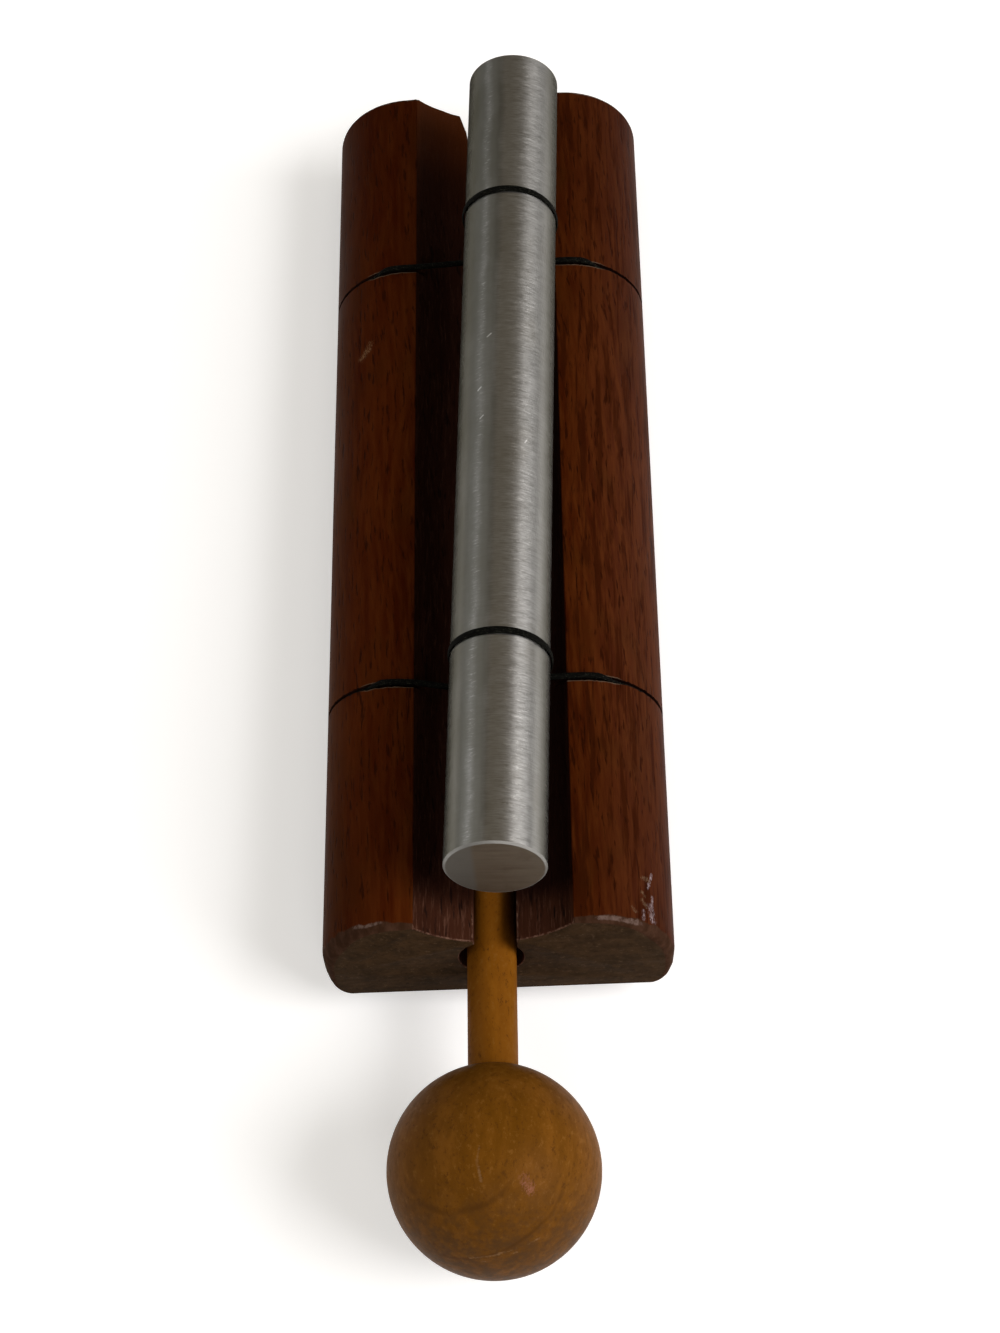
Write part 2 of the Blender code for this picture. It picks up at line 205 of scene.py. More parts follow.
class Look:
    """One material: its named colours, its colour so far, and short ways to add its nodes."""

    def __init__(self, name, palette):
        self.palette = palette
        self.material = bpy.data.materials.new(name)
        self.material.use_nodes = True
        self.tree = self.material.node_tree
        self.shader = self.tree.nodes["Principled BSDF"]
        self.place = self.add("TexCoord").outputs["Object"]
        self.tone = None

    def add(self, kind, inputs=None, **settings):
        made = self.tree.nodes.new("ShaderNode" + kind)
        for key, value in settings.items():
            setattr(made, key, value)
        for key, value in (inputs or {}).items():
            self.put(made.inputs[key], value)
        return made

    def put(self, socket, value):
        if isinstance(value, bpy.types.NodeSocket):
            self.tree.links.new(value, socket)
        elif isinstance(value, str):
            socket.default_value = (*self.palette[value], 1.0)
        else:
            socket.default_value = value

    def set(self, **inputs):
        for key, value in inputs.items():
            self.put(self.shader.inputs[key.replace("_", " ")], value)

    def calculate(self, operation, first, second):
        return self.add("Math", {0: first, 1: second}, operation=operation).outputs[0]

    def times(self, first, second):
        return self.calculate("MULTIPLY", first, second)

    def plus(self, first, second):
        return self.calculate("ADD", first, second)

    def minus(self, first, second):
        return self.calculate("SUBTRACT", first, second)

    def larger(self, first, second):
        return self.calculate("MAXIMUM", first, second)

    def mix(self, share, first, second):
        made = self.add("Mix", data_type="RGBA")
        self.put(made.inputs["Factor"], share)
        self.put(made.inputs[6], first)
        self.put(made.inputs[7], second)
        return made.outputs[2]

    def ground(self, value, low, high, first, second):
        """Start the colour, which goes from first to second as the value goes from low to high."""
        self.tone = self.mix(self.span(value, low, high), first, second)

    def layer(self, share, tone):
        """Lay a share of another colour over the colour so far."""
        self.tone = self.mix(share, self.tone, tone)

    def tint(self, value, low, high, strength, tone):
        """Lay another colour on, up to its strength as the value goes from low to high."""
        self.layer(self.span(value, low, high, 0.0, strength), tone)

    def complete(self, rough, relief, depth, strength, shine=DULL_SHINE, **inputs):
        """The material with its colour, roughness, relief and shine set on its shader."""
        bump = self.add("Bump", {"Height": relief, "Distance": depth, "Strength": strength})
        self.set(Base_Color=self.tone, Roughness=rough, Normal=bump.outputs["Normal"],
                 Specular_IOR_Level=shine, **inputs)
        return self.material

    def attribute(self, name):
        return self.add("Attribute", attribute_name=name).outputs["Fac"]

    def axis(self, name):
        return self.add("SeparateXYZ", {0: self.place}).outputs[name]

    def depth(self, pole, scale):
        """How far a place lies along a pole through the piece's own middle."""
        way = tuple(Vector(pole).normalized() * scale)
        return self.add("VectorMath", {0: self.place, 1: way}, operation="DOT_PRODUCT").outputs["Value"]

    def noise(self, per_metre, detail=3.0, rough=0.55, distortion=0.0, place=None):
        """Noise from 0 to 1, with its own number of features to the metre along X, Y and Z."""
        place = self.place if place is None else place
        spread = self.add("Mapping", {"Vector": place, "Scale": per_metre})
        made = self.add("TexNoise", {"Vector": spread.outputs["Vector"], "Scale": 1.0, "Detail": detail,
                                     "Roughness": rough, "Distortion": distortion})
        return made.outputs["Fac"]

    def leaning(self, lean, wander):
        """The piece's places, moved across so that grain along Y leans and wanders."""
        drift = self.times(self.axis("Y"), lean)
        sway = self.span(self.noise((45, 24, 45), detail=2), 0.2, 0.8, -wander, wander)
        shift = self.add("CombineXYZ", {"X": self.plus(drift, sway)}).outputs[0]
        return self.add("VectorMath", {0: self.place, 1: shift}, operation="ADD").outputs[0]

    def span(self, value, low, high, to_low=0.0, to_high=1.0):
        """The value moved from one range to another, smooth and clamped at both ends."""
        made = self.add("MapRange", {0: value, 1: low, 2: high, 3: to_low, 4: to_high},
                        interpolation_type="SMOOTHSTEP")
        return made.outputs[0]

    def window(self, value, low, high, soft):
        """1 where the value lies between low and high, with soft edges."""
        return self.times(self.span(value, low - soft, low + soft),
                          self.span(value, high + soft, high - soft))

    def mark(self, start, end, width):
        """1 along a straight scratch from start to end, fading to 0 at its width."""
        start = Vector(start)
        run = Vector(end) - start
        off = self.add("VectorMath", {0: self.place, 1: start}, operation="SUBTRACT").outputs[0]
        along = self.add("VectorMath", {0: off, 1: run / run.length_squared}, operation="DOT_PRODUCT")
        share = self.add("Clamp", {"Value": along.outputs["Value"]}).outputs[0]
        near = self.add("VectorMath", {0: tuple(run), "Scale": share}, operation="SCALE").outputs[0]
        away = self.add("VectorMath", {0: off, 1: near}, operation="DISTANCE").outputs["Value"]
        return self.span(away, width, 0.0)

    def marks(self, scratches):
        """1 along scratches given in millimetres as start, end and width."""
        total = None
        for start, end, width in scratches:
            one = self.mark([c * MM for c in start], [c * MM for c in end], width * MM)
            total = one if total is None else self.larger(total, one)
        return total

    def broken_marks(self, scratches, per_metre, ragged):
        """Scratches with ragged edges, broken up by fine noise and uneven in strength."""
        lines = self.marks(scratches)
        fine = self.noise(per_metre, detail=5, rough=0.8, distortion=0.4)
        frayed = self.plus(lines, self.span(fine, 0.3, 0.7, -ragged, ragged))
        torn = self.span(frayed, 0.45, 1.25)
        uneven = self.span(self.noise((700, 700, 700), detail=2), 0.35, 0.65, 0.35, 1.0)
        return self.times(self.times(torn, uneven), self.span(lines, 0.0, 0.4))


# Block shape


def arc(center_x, center_z, radius_x, radius_z, start, end, steps):
    """Points on part of an ellipse, from one angle to another in degrees."""
    angles = np.radians(np.linspace(start, end, steps + 1))
    return [(center_x + radius_x * math.cos(a), center_z + radius_z * math.sin(a)) for a in angles]


def outside_arcs(foot_steps, dome_steps, inset):
    """The right-hand side's round foot and dome, set in by an inset."""
    foot = arc(HALF_WIDTH - FOOT_ROUND_WIDTH, WIDEST_HEIGHT, FOOT_ROUND_WIDTH - inset,
               WIDEST_HEIGHT - inset, -90, 0, foot_steps)
    dome = arc(HALF_WIDTH - SHOULDER_ROUND_WIDTH, WIDEST_HEIGHT, SHOULDER_ROUND_WIDTH - inset,
               SHOULDER_ROUND_HEIGHT - inset, 0, 90, dome_steps)
    return foot + dome[1:]


def right_side():
    """Half the section as (x, z, region, kerf x, kerf z), from the underside up and in to the bore."""
    points = []

    def add(outer, region, inner=None):
        for index, (x, z) in enumerate(outer):
            points.append((x, z, region, *(inner[index] if inner else (x, z))))

    underside = [(HALF_WIDTH * share / 10, 0.0) for share in range(9)]
    add(underside, "outside", [(x, KERF_DEPTH) for x, _ in underside])
    add(outside_arcs(*BLOCK_STEPS, 0.0), "outside", outside_arcs(*BLOCK_STEPS, KERF_DEPTH))
    rim = arc(COVE_HALF + RIM_ROUND, BLOCK_TOP - RIM_ROUND, RIM_ROUND, RIM_ROUND, 90, 150, RIM_STEPS)
    add(rim, "outside", [(x, BLOCK_TOP - KERF_DEPTH) for x, _ in rim])
    turn = math.degrees(math.asin((COVE_HALF - RIM_INSET) / COVE_RADIUS))
    floor_turn = math.degrees(math.asin((SLOT_HALF + LIP_ROUND) / COVE_RADIUS))
    cove = arc(0, COVE_CENTER_Z, COVE_RADIUS, COVE_RADIUS, turn - 90, floor_turn - 90, COVE_STEPS)
    add(cove, "cove", [(x, min(z, BLOCK_TOP - KERF_DEPTH)) for x, z in cove])
    lip_z = cove[-1][1] - LIP_ROUND
    add(arc(SLOT_HALF + LIP_ROUND, lip_z, LIP_ROUND, LIP_ROUND, 100, 180, LIP_STEPS), "cove")
    return points, lip_z


def section():
    """The whole section, counter-clockwise seen from the front, with outward normals."""
    right, lip_z = right_side()
    start = math.degrees(math.acos((SLOT_HALF - BORE_X) / BORE_RADIUS))
    end = math.degrees(math.acos((-SLOT_HALF - BORE_X) / BORE_RADIUS)) - 360
    bore = arc(BORE_X, BORE_HEIGHT, BORE_RADIUS, BORE_RADIUS, start, end, BORE_STEPS)
    wall = [(SLOT_HALF, lip_z + (bore[0][1] - lip_z) * share) for share in (0.3, 0.65)]
    other_wall = [(-SLOT_HALF, lip_z + (bore[-1][1] - lip_z) * share) for share in (0.65, 0.3)]
    middle = [(x, z, "bore", x, z) for x, z in wall + bore + other_wall]
    left = [(-x, z, region, -kx, kz) for x, z, region, kx, kz in reversed(right[1:])]
    points = right + middle + left
    outer = np.array([(p[0], p[1]) for p in points])
    kerf = np.array([(p[3], p[4]) for p in points])
    ahead = np.roll(outer, -1, 0) - np.roll(outer, 1, 0)
    normals = np.stack([ahead[:, 1], -ahead[:, 0]], 1)
    normals /= np.linalg.norm(normals, axis=1)[:, None]
    return outer, kerf, normals, [p[2] for p in points]


def worn_end(x, z, region, front):
    """How far back the wear at an end reaches, and how deep it cuts, at one place of the section."""
    if region != "outside":
        return BARE_WEAR
    from_rim = abs(x) - COVE_HALF
    across = min(max(from_rim / (CORNER_X - COVE_HALF), 0.0), 1.0)
    corner = CORNER_WEAR["left" if x < 0 else "right"]
    reach, drop = REAR_WEAR
    if front:
        reach = CROWN_WEAR[0] + (corner[0] - CROWN_WEAR[0]) * across
        drop = CROWN_WEAR[1] + (corner[1] - CROWN_WEAR[1]) * across ** 4
    drop = BARE_WEAR[1] + (drop - BARE_WEAR[1]) * smooth_step(from_rim / CREST_RUN)
    above = smooth_step(z / WIDEST_HEIGHT)
    ragged = 1 + WEAR_UNEVEN * noise.noise(Vector((x, z, 0.0)) / WEAR_LUMPS)
    reach = (FOOT_WEAR[0] + (reach - FOOT_WEAR[0]) * above) * ragged
    return reach, FOOT_WEAR[1] + (drop - FOOT_WEAR[1]) * above


def stations():
    """Places along the block as (y, depth from the nearer end, kerf, part of that kerf)."""
    rows = [(HALF_LENGTH - depth, depth, None, None) for depth in END_ROWS]
    rows += [(-HALF_LENGTH + depth, depth, None, None) for depth in END_ROWS]
    for name, kerf_y in KERF_YS.items():
        for side in (-1, 1):
            edge = kerf_y + side * KERF_WIDTH / 2
            rows.append((edge + side * CHIP_WIDTH, PAST_WEAR, name, "beside"))
            rows.append((edge, PAST_WEAR, name, "edge"))
            rows.append((edge - side * KERF_WALL_LEAN, PAST_WEAR, name, "floor"))
    inner = HALF_LENGTH - END_STRETCH
    for y in np.arange(-inner, inner + ROW_SPACING / 2, ROW_SPACING):
        if all(abs(y - kerf_y) > KERF_STRETCH for kerf_y in KERF_YS.values()):
            rows.append((float(y), PAST_WEAR, None, None))
    return sorted(rows, key=lambda row: row[0])


def kerf_stray(name, x):
    """How far a kerf wanders back on the left-hand side, as the front one does."""
    return KERF_STRAY[name] * max(0.0, -x - COVE_HALF)


def kerf_shift(row, x, z):
    """How far a kerf's ring is moved along the block at one place: its wander and its ragged edge."""
    y, _, name, part = row
    if name is None:
        return 0.0
    if part == "beside":
        return kerf_stray(name, x)
    side = 1 if y > KERF_YS[name] else -1
    place = Vector((x * RAGGED_PER_METRE, z * RAGGED_PER_METRE, 9.0 * side))
    ragged = KERF_RAGGED * abs(noise.noise(place))
    closing = KERF_CLOSING * smooth_step((abs(x) - THICK_CORD_X) / CLOSING_RUN) if part == "edge" else 0.0
    return kerf_stray(name, x) + side * (ragged - closing)


def slot_flare(x, z, y):
    """How far the slot's torn-out walls spread apart at the rear end."""
    share = 1 - (HALF_LENGTH - y) / FLARE_LENGTH
    reach = 1 - (abs(x) - SLOT_HALF) / (3 * FLARE_WIDTH)
    if share <= 0 or reach <= 0 or z < BORE_HEIGHT + BORE_RADIUS / 2:
        return 0.0
    return math.copysign(FLARE_WIDTH * share * min(reach, 1.0), x)


def block_mesh():
    """Rings along the block, with the wear at its ends and the chipped edges of its kerfs as shares."""
    outer, kerf, normals, regions = section()
    rows = stations()
    is_outside = np.array([region == "outside" for region in regions])
    wear_at = {front: np.array([worn_end(x, z, region, front) for (x, z), region in zip(outer, regions)])
               for front in (True, False)}
    vertices = []
    worn = []
    chipped = []
    for row in rows:
        y, depth, _, part = row
        reach, drop = wear_at[y < 0].T
        share = np.clip(1 - depth / reach, 0, 1)
        inset = drop * (1 - np.sqrt(1 - share ** 2))
        sway = [noise.noise(Vector((x * SWAY_ACROSS, y * SWAY_ALONG, z * SWAY_ACROSS))) - 1
                for x, z in outer]
        plain = outer + normals * (WOOD_SWAY * np.array(sway) * is_outside - inset)[:, None]
        plain[:, 0] += [slot_flare(x, z, y) for x, z in outer]
        ring = kerf if part == "floor" else plain
        vertices += [(x, y + kerf_shift(row, x, z), z) for x, z in ring]
        worn += list(share)
        chipped += [1.0 if part in ("edge", "floor") else 0.0] * len(regions)
    faces = ring_faces(len(rows), len(regions))
    return vertices, faces, face_materials(rows, regions), {"worn": worn, "chipped": chipped}


def ring_faces(rings, sides):
    """Quads between rings of points, and a cap at each end."""
    faces = []
    for ring in range(rings - 1):
        for step in range(sides):
            after = (step + 1) % sides
            a = ring * sides
            faces.append((a + step, a + after, a + sides + after, a + sides + step))
    last = (rings - 1) * sides
    faces.append(tuple(reversed(range(sides))))
    faces.append(tuple(range(last, last + sides)))
    return faces


def face_materials(rows, regions):
    """The material of each face, both ends last: 0 varnished, 1 bare, 2 end grain."""
    bare = [region != "outside" for region in regions]
    materials = []
    for row, after in zip(rows, rows[1:]):
        kerf_wall = "floor" in (row[3], after[3])
        materials += [int(kerf_wall or one or other) for one, other in zip(bare, bare[1:] + bare[:1])]
    return materials + [2, 2]


def build_block():
    vertices, faces, materials, shares = block_mesh()
    mesh = bpy.data.meshes.new("block")
    mesh.from_pydata(vertices, [], faces)
    mesh.polygons.foreach_set("material_index", materials)
    for name, values in shares.items():
        layer = mesh.attributes.new(name, "FLOAT", "POINT")
        layer.data.foreach_set("value", np.array(values, np.float32))
    weld(mesh)
    block = new_object("block", mesh)
    for name, kerf_y in KERF_YS.items():
        cut_pocket(block, name, kerf_y)
    for material in (varnished_wood(), bare_wood(), end_grain()):
        block.data.materials.append(material)
    block.data.shade_smooth()
    block.data.set_sharp_from_angle(angle=SHARP_ANGLE)
    return block


def weld(mesh):
    welded = bmesh.new()
    welded.from_mesh(mesh)
    bmesh.ops.remove_doubles(welded, verts=welded.verts, dist=MESH_WELD)
    bmesh.ops.dissolve_degenerate(welded, edges=welded.edges, dist=MESH_WELD)
    bmesh.ops.recalc_face_normals(welded, faces=welded.faces)
    welded.to_mesh(mesh)
    welded.free()


def cut_pocket(block, name, kerf_y):
    """The round pocket in the underside that holds a cord's knots."""
    shape = bmesh.new()
    bmesh.ops.create_cone(shape, cap_ends=True, segments=POCKET_SEGMENTS, radius1=POCKET_DIAMETER / 2,
                          radius2=POCKET_DIAMETER / 2, depth=2 * POCKET_DEPTH)
    mesh = bpy.data.meshes.new(name + "_pocket")
    shape.to_mesh(mesh)
    shape.free()
    for polygon in mesh.polygons:
        polygon.material_index = 1
    cutter = new_object(name + "_pocket", mesh)
    cutter.location.y = kerf_y
    boolean = block.modifiers.new("pocket", "BOOLEAN")
    boolean.operation = "DIFFERENCE"
    boolean.object = cutter
    bpy.context.view_layer.update()
    whole = bpy.data.meshes.new_from_object(block.evaluated_get(bpy.context.evaluated_depsgraph_get()))
    block.modifiers.remove(boolean)
    block.data = whole
    bpy.data.objects.remove(cutter)


# Turned shapes


def turned(name, profile, segments, material):
    """A closed solid turned about its own Z axis, from a profile of (radius, z) that runs downwards."""
    vertices = []
    faces = []
    for radius, z in profile[1:-1]:
        for step in range(segments):
            angle = math.tau * step / segments
            vertices.append((radius * math.cos(angle), radius * math.sin(angle), z))
    top = len(vertices)
    vertices += [(0, 0, profile[0][1]), (0, 0, profile[-1][1])]
    rings = len(profile) - 2
    for ring in range(rings - 1):
        for step in range(segments):
            after = (step + 1) % segments
            a = ring * segments
            faces.append((a + step, a + segments + step, a + segments + after, a + after))
    last = (rings - 1) * segments
    for step in range(segments):
        after = (step + 1) % segments
        faces.append((top, step, after))
        faces.append((top + 1, last + after, last + step))
    return smooth_piece(name, vertices, faces, material, sharp=True)


def new_object(name, data):
    """An object that is linked to the scene."""
    made = bpy.data.objects.new(name, data)
    bpy.context.scene.collection.objects.link(made)
    return made


def smooth_piece(name, vertices, faces, material, sharp):
    """An object of one material, shaded smooth, with its sharp edges kept where asked."""
    mesh = bpy.data.meshes.new(name)
    mesh.from_pydata(vertices, [], faces)
    mesh.materials.append(material)
    mesh.shade_smooth()
    if sharp:
        mesh.set_sharp_from_angle(angle=SHARP_ANGLE)
    return new_object(name, mesh)


def build_bar():
    length = (bar_high.y - bar_low.y - 2 * BAR_RADIUS * math.sin(BAR_YAW)) / math.cos(BAR_YAW)
    half = length / 2
    inner = BAR_RADIUS - BAR_CHAMFER
    face = [(0.0, half)] + [(inner * share, half) for share in (0.3, 0.6, 0.85, 1.0)]
    side = [(BAR_RADIUS, z) for z in np.linspace(half - BAR_CHAMFER, BAR_CHAMFER - half, BAR_ROWS)]
    profile = face + side + [(radius, -z) for radius, z in reversed(face)]
    bar = turned("rod", profile, BAR_SEGMENTS, brushed_aluminium())
    bar.data.materials.append(cut_aluminium())
    for polygon in bar.data.polygons:
        polygon.material_index = 1 if abs(polygon.normal.z) > 0.5 else 0
    bar.location = BAR_MIDDLE
    bar.rotation_euler = (math.pi / 2, 0, -BAR_YAW)
    return bar


def build_handle():
    """The dowel, with its rounded inner end at the top of the profile."""
    length = handle_high.y - handle_low.y
    tip = arc(HANDLE_RADIUS - TIP_ROUND, length - TIP_ROUND, TIP_ROUND, TIP_ROUND, 90, 0, TIP_STEPS)
    side = [(HANDLE_RADIUS, z) for z in np.linspace(length - TIP_ROUND, 0.0, HANDLE_ROWS)[1:]]
    profile = [(0.0, length)] + tip + side + [(HANDLE_RADIUS * 0.5, 0.0), (0.0, 0.0)]
    handle = turned("mallet_dowel", profile, MALLET_SEGMENTS // 2, honey_dowel())
    handle.location = (handle_low + handle_high) / 2
    handle.location.y = handle_low.y
    handle.rotation_euler.x = -math.pi / 2
    return handle


def build_ball():
    """The turned ball with the blind socket that the dowel is glued into."""
    socket = HANDLE_RADIUS + SOCKET_GAP
    floor = BALL_RADIUS - SOCKET_DEPTH
    mouth_turn = math.degrees(math.asin((socket + SOCKET_MOUTH) / BALL_RADIUS))
    mouth = BALL_RADIUS * math.cos(math.radians(mouth_turn))
    inside = [(0.0, floor), (socket * 0.6, floor), (socket, floor), (socket, floor + SOCKET_DEPTH / 2)]
    inside += [(socket, mouth - SOCKET_MOUTH)]
    outside = arc(0, 0, BALL_RADIUS, BALL_RADIUS, 90 - mouth_turn, -90, BALL_ROWS)
    profile = inside + outside[:-1] + [(0.0, -BALL_RADIUS)]
    ball = turned("mallet_ball", profile, MALLET_SEGMENTS, honey_ball())
    ball.location = BALL_MIDDLE
    ball.rotation_euler.x = -math.pi / 2
    return ball


# Cords


def smooth_step(value):
    value = min(max(value, 0.0), 1.0)
    return value * value * (3 - 2 * value)


def even_points(points):
    """A polyline of (place, radius) read again at the cord's even step, both ends kept."""
    places = np.array([tuple(place) for place, _ in points])
    lengths = np.concatenate([[0.0], np.cumsum(np.linalg.norm(np.diff(places, axis=0), axis=1))])
    count = max(1, round(lengths[-1] / CORD_STEP))
    at = np.linspace(0, lengths[-1], count + 1)
    columns = [np.interp(at, lengths, places[:, axis]) for axis in range(3)]
    radii = np.interp(at, lengths, [radius for _, radius in points])
    return [(Vector(place), float(radius)) for place, radius in zip(zip(*columns), radii)]


def kerf_run(kerf_y):
    """The cord's right-hand stretch, from the pocket's wall up through the kerf to the rim."""
    surface = [(POCKET_DIAMETER / 2, 0.0)] + outside_arcs(*CORD_STEPS, 0.0) + [(COVE_HALF, BLOCK_TOP)]
    places = [place for place, _ in even_points([(Vector((x, kerf_y, z)), 0.0) for x, z in surface])]
    total = (len(places) - 1) * CORD_STEP
    run = []
    for index, place in enumerate(places):
        along = places[min(index + 1, len(places) - 1)] - places[max(index - 1, 0)]
        outward = Vector((along.z, 0.0, -along.x)).normalized()
        to_rim = total - index * CORD_STEP
        dive = smooth_step((to_rim - SURFACE_RUN) / DIVE_RUN)
        pinch = smooth_step((to_rim - SURFACE_RUN) / (DIVE_RUN / 2))
        lift = (CORD_RADIUS + CORD_GAP) * (1 - dive) - CORD_SINK * dive
        run.append((place + outward * lift, CORD_RADIUS + (PINCHED_RADIUS - CORD_RADIUS) * pinch))
    return run


def knot(kerf_y):
    """The right-hand end's stopper knot in the pocket, from its cut end to the pocket's wall."""
    middle = POCKET_DIAMETER / 2 - KNOT_RADIUS
    lumps = [(Vector((middle - KNOT_TAIL, kerf_y, POCKET_DEPTH * 0.4)), PINCHED_RADIUS)]
    for reach in np.linspace(-1.2, 1.0, 12):
        swell = KNOT_RADIUS * math.sqrt(max(0.0, 1 - (reach * 0.9) ** 2))
        ripple = 1 + 0.12 * math.cos(reach * 9)
        place = Vector((middle + reach * KNOT_RADIUS, kerf_y, POCKET_DEPTH / 2))
        lumps.append((place, max(PINCHED_RADIUS, swell * ripple)))
    return lumps


def bar_x(kerf_y):
    """Where the rod's axis lies across the block above a kerf."""
    return BAR_MIDDLE.x + math.tan(BAR_YAW) * (kerf_y - BAR_MIDDLE.y)


def bar_turn(kerf_y, loop_y):
    """One turn round the rod, in under it from the left and out under it to the right."""
    reach = BAR_RADIUS + CORD_GAP + CORD_RADIUS
    x = bar_x(kerf_y)
    turn = []
    for share in np.linspace(0, 1, TURN_STEPS + 1):
        angle = math.tau * (share - 0.25)
        y = loop_y + LOOP_PITCH * (share - 0.5)
        place = Vector((x + reach * math.cos(angle), y, BAR_MIDDLE.z + reach * math.sin(angle)))
        turn.append((place, CORD_RADIUS))
    return turn


def press_on_bar(piece, turn, kerf_y):
    """Flatten a turn of cord against the rod and spread it, all but its two ends underneath."""
    axis = Vector((bar_x(kerf_y), 0.0, BAR_MIDDLE.z))
    for vertex in piece.data.vertices:
        off = (vertex.co - axis) * Vector((1.0, 0.0, 1.0))
        outward = off.normalized()
        held = smooth_step((outward.z - TURN_FREE_BELOW) / TURN_GRIP_RUN)
        aside = vertex.co.y - turn[vertex.index // CORD_SIDES][0].y
        vertex.co -= outward * (off.length - BAR_RADIUS) * TURN_PRESS * held
        vertex.co.y += aside * TURN_SPREAD * held
    piece.data.update()


def other_side(points, name):
    return [(Vector((-place.x, place.y + kerf_stray(name, -place.x), place.z)), radius)
            for place, radius in points]


def braided_tube(name, points, material):
    """A closed tube along points of (place, radius), with the diamonds of a braid raised on it."""
    vertices = []
    side = Vector((0, 1, 0))
    for index, (place, radius) in enumerate(points):
        along = (points[min(index + 1, len(points) - 1)][0] - points[max(index - 1, 0)][0]).normalized()
        side = (side - along * along.dot(side)).normalized()
        up = along.cross(side)
        phase = math.pi * index * CORD_STEP / BRAID_PITCH
        for step in range(CORD_SIDES):
            angle = math.tau * step / CORD_SIDES
            left = math.cos(BRAID_STRANDS * angle / 2 + phase)
            right = math.cos(BRAID_STRANDS * angle / 2 - phase)
            lift = BRAID_HEIGHT * (max(abs(left), abs(right)) - 1)
            around = side * math.cos(angle) + up * math.sin(angle)
            vertices.append(place + around * (radius + lift))
    return smooth_piece(name, vertices, ring_faces(len(points), CORD_SIDES), material, sharp=False)


def build_cord(place, material):
    """One cord in five pieces: two in the block, two free strands, and the turn on the rod."""
    kerf_y = KERF_YS[place]
    run = kerf_run(kerf_y)
    turn = even_points(bar_turn(kerf_y, kerf_y + LOOP_SHIFTS[place]))
    end = even_points(knot(kerf_y) + [run[0]])
    held = even_points(end[:-1] + run)
    node = place + "_cord"
    for side, stretch in (("left", other_side(held, place)), ("right", held)):
        piece = braided_tube(f"{place}_cord_{side}_end", stretch, material)
        finish_piece(piece, "base", node)
        rim = stretch[-1]
        meeting = turn[0] if side == "left" else turn[-1]
        strand = even_points([rim, meeting])
        piece = braided_tube(f"{place}_cord_{side}_strand", strand, material)
        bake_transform(piece)
        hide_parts(node)
    piece = braided_tube(f"{place}_cord_turn", turn, material)
    press_on_bar(piece, turn, kerf_y)
    finish_piece(piece, "chime", node)


# Finish of the block: colours, where each tint starts and is full, and scratches in millimetres
VARNISH = {
    "deep": (0.040, 0.0058, 0.0006),
    "warm": (0.064, 0.0130, 0.0018),
    "light": (0.097, 0.0240, 0.0041),
    "mottle": (0.048, 0.0135, 0.0015),
    # Painted light: the left flank, lit from the left, is painted lighter and yellower
    "left_flank_light": (0.075, 0.030, 0.0060),
    # Painted shade: the left shoulder, in the rod's shadow, is painted darker and redder
    "left_shoulder_shade": (0.040, 0.0046, 0.0001),
    # Painted sheen: the lit right shoulder is painted paler and pinker
    "right_shoulder_sheen": (0.066, 0.023, 0.0120),
    "streak": (0.026, 0.0050, 0.0010),
    # Painted shade, growing towards the rear end where less light falls; also a little darker towards the
    # front
    "end": (0.018, 0.0028, 0.0004),
    "pore": (0.018, 0.0036, 0.0008),
    "chip": (0.105, 0.070, 0.046),
    "worn_dark": (0.030, 0.013, 0.0065),
    "worn_light": (0.052, 0.024, 0.014),
    # Pale strips on the front edge: a painted highlight on the left, rubbed-away varnish on the right
    "rubbed": (0.135, 0.088, 0.072),
    "white": (0.31, 0.245, 0.255),
    "dull": (0.17, 0.110, 0.065),
    "nick": (0.185, 0.098, 0.048),
}
LEFT_FLANK_LIGHT = mm(-26, -31)
LEFT_SHOULDER_SHADE = mm(-14, -20)
RIGHT_SHOULDER_SHEEN = mm(14, 31)
STREAKED_SIDE = mm(8, 18)
BLOCK_REAR_SHADE = mm(-10, 95)
DARKER_FRONT = mm(-40, -85)
CHIPPED_INSIDE = (27 * MM, THICK_CORD_X)
LEFT_EDGE_HIGHLIGHT = mm(-26.0, -19.6)
RUBBED_RIGHT = mm(17.6, 27.0)
WHITE_SCRATCHES = [
    ((28.7, -89.4), (27.9, -92.5), 0.6), ((28.6, -94.0), (28.4, -97.0), 0.6),
    ((28.2, -96.6), (28.6, -98.6), 1.6), ((26.95, -97.7), (26.95, -99.3), 0.7),
]
DULL_SCRATCHES = [
    ((27.1, -90.9), (28.2, -91.0), 0.9), ((26.85, -93.9), (27.2, -94.5), 0.7),
    ((26.8, -95.6), (27.5, -96.6), 0.8), ((25.0, -97.6), (25.6, -98.2), 0.7),
]
SHOULDER_NICK = [
    ((-25.9, 32.1), (-25.5, 32.4), 1.5), ((-25.2, 33.0), (-24.7, 33.9), 1.3),
    ((-24.5, 33.2), (-24.0, 35.0), 1.3),
]
BARE = {
    "deep": (0.021, 0.0060, 0.0026),
    "warm": (0.041, 0.0128, 0.0060),
    "torn": (0.082, 0.036, 0.022),
    "pore": (0.010, 0.0035, 0.002),
    # Redder wood towards the rear end, also painted lighter there, where light reaches past the rod's end
    "rear": (0.066, 0.0150, 0.0022),
    # Painted shadow in the hollow under the rod
    "rod_shadow": (0.006, 0.0012, 0.0006),
    "frayed": (0.125, 0.066, 0.045),
}
REAR_RED_AND_LIGHT = mm(60, 95)
ROD_SHADOW_FRONT = mm(-97, -91)
ROD_SHADOW_REAR = mm(96, 78)
ROD_SHADOW_SIDE = mm(2, 7)
FRAYED_LIP = (SLOT_HALF, SLOT_HALF + 0.5 * MM)
FRAYED_HEIGHT = (BORE_HEIGHT + 5.5 * MM, BORE_HEIGHT + 6.0 * MM)
FRAYED_FRONT = mm(-84, -97)
ABOVE_POCKETS = (1.1 * POCKET_DEPTH, 1.4 * POCKET_DEPTH)
